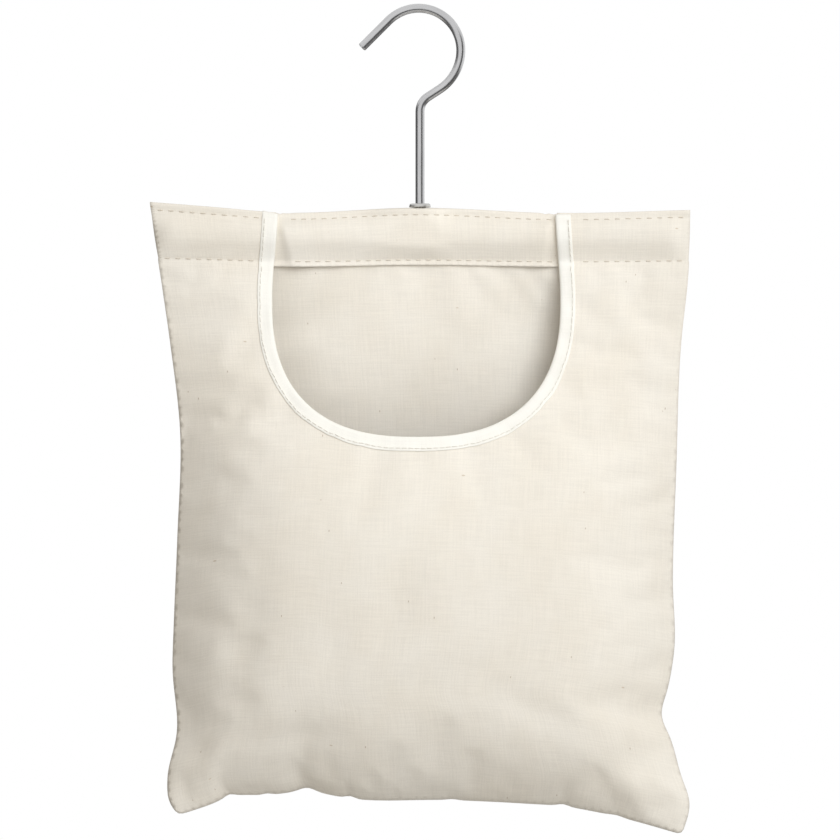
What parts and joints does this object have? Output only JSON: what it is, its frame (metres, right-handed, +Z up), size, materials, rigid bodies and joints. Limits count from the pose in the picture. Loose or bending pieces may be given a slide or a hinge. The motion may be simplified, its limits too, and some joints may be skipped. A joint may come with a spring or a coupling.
{
  "type": "hanging clothespin bag",
  "caption": "Flat canvas bag with a deep U-shaped opening bound in ivory tape, hung from a bar in its top casing on a swivelling bent-wire hook.",
  "frame": {"origin": "inside top of the hook's bend, on the shank's axis, where a rail or line carries the bag", "axes": "+Z up along the shank, front of the bag towards -Y, +X to the right when facing the front"},
  "size_m": [0.275, 0.0714, 0.4166],
  "materials": {
    "hook_wire": "satin",
    "plated_hardware": "polished",
    "bar_wood": "matte",
    "canvas": "matte",
    "binding_tape": "matte",
    "canvas_thread": "matte",
    "binding_thread": "matte"
  },
  "bodies": {
    "hook": {"hook": "hook_wire", "swivel_washer": "plated_hardware", "push_nut": "plated_hardware"},
    "bag": {"eyelet": "plated_hardware", "eyelet_washer": "plated_hardware", "hanger_bar": "bar_wood", "front_panel": "canvas", "back_panel": "canvas", "opening_binding": "binding_tape", "thread_top_left": "canvas_thread", "thread_top_middle": "canvas_thread", "thread_top_right": "canvas_thread", "thread_hem_left": "canvas_thread", "thread_hem_right": "canvas_thread", "thread_casing": "canvas_thread", "thread_side_left": "canvas_thread", "thread_side_right": "canvas_thread", "thread_bottom": "canvas_thread", "bobbin_top": "canvas_thread", "bobbin_casing": "canvas_thread", "thread_binding": "binding_thread", "thread_end_left": "binding_thread", "thread_end_right": "binding_thread"}
  },
  "joints": [
    {"name": "hook_swivel", "type": "hinge", "parent": "hook", "child": "bag", "pos_m": [0, 0, -0.1134], "axis": [0, 0, 1], "continuous": true}
  ]
}
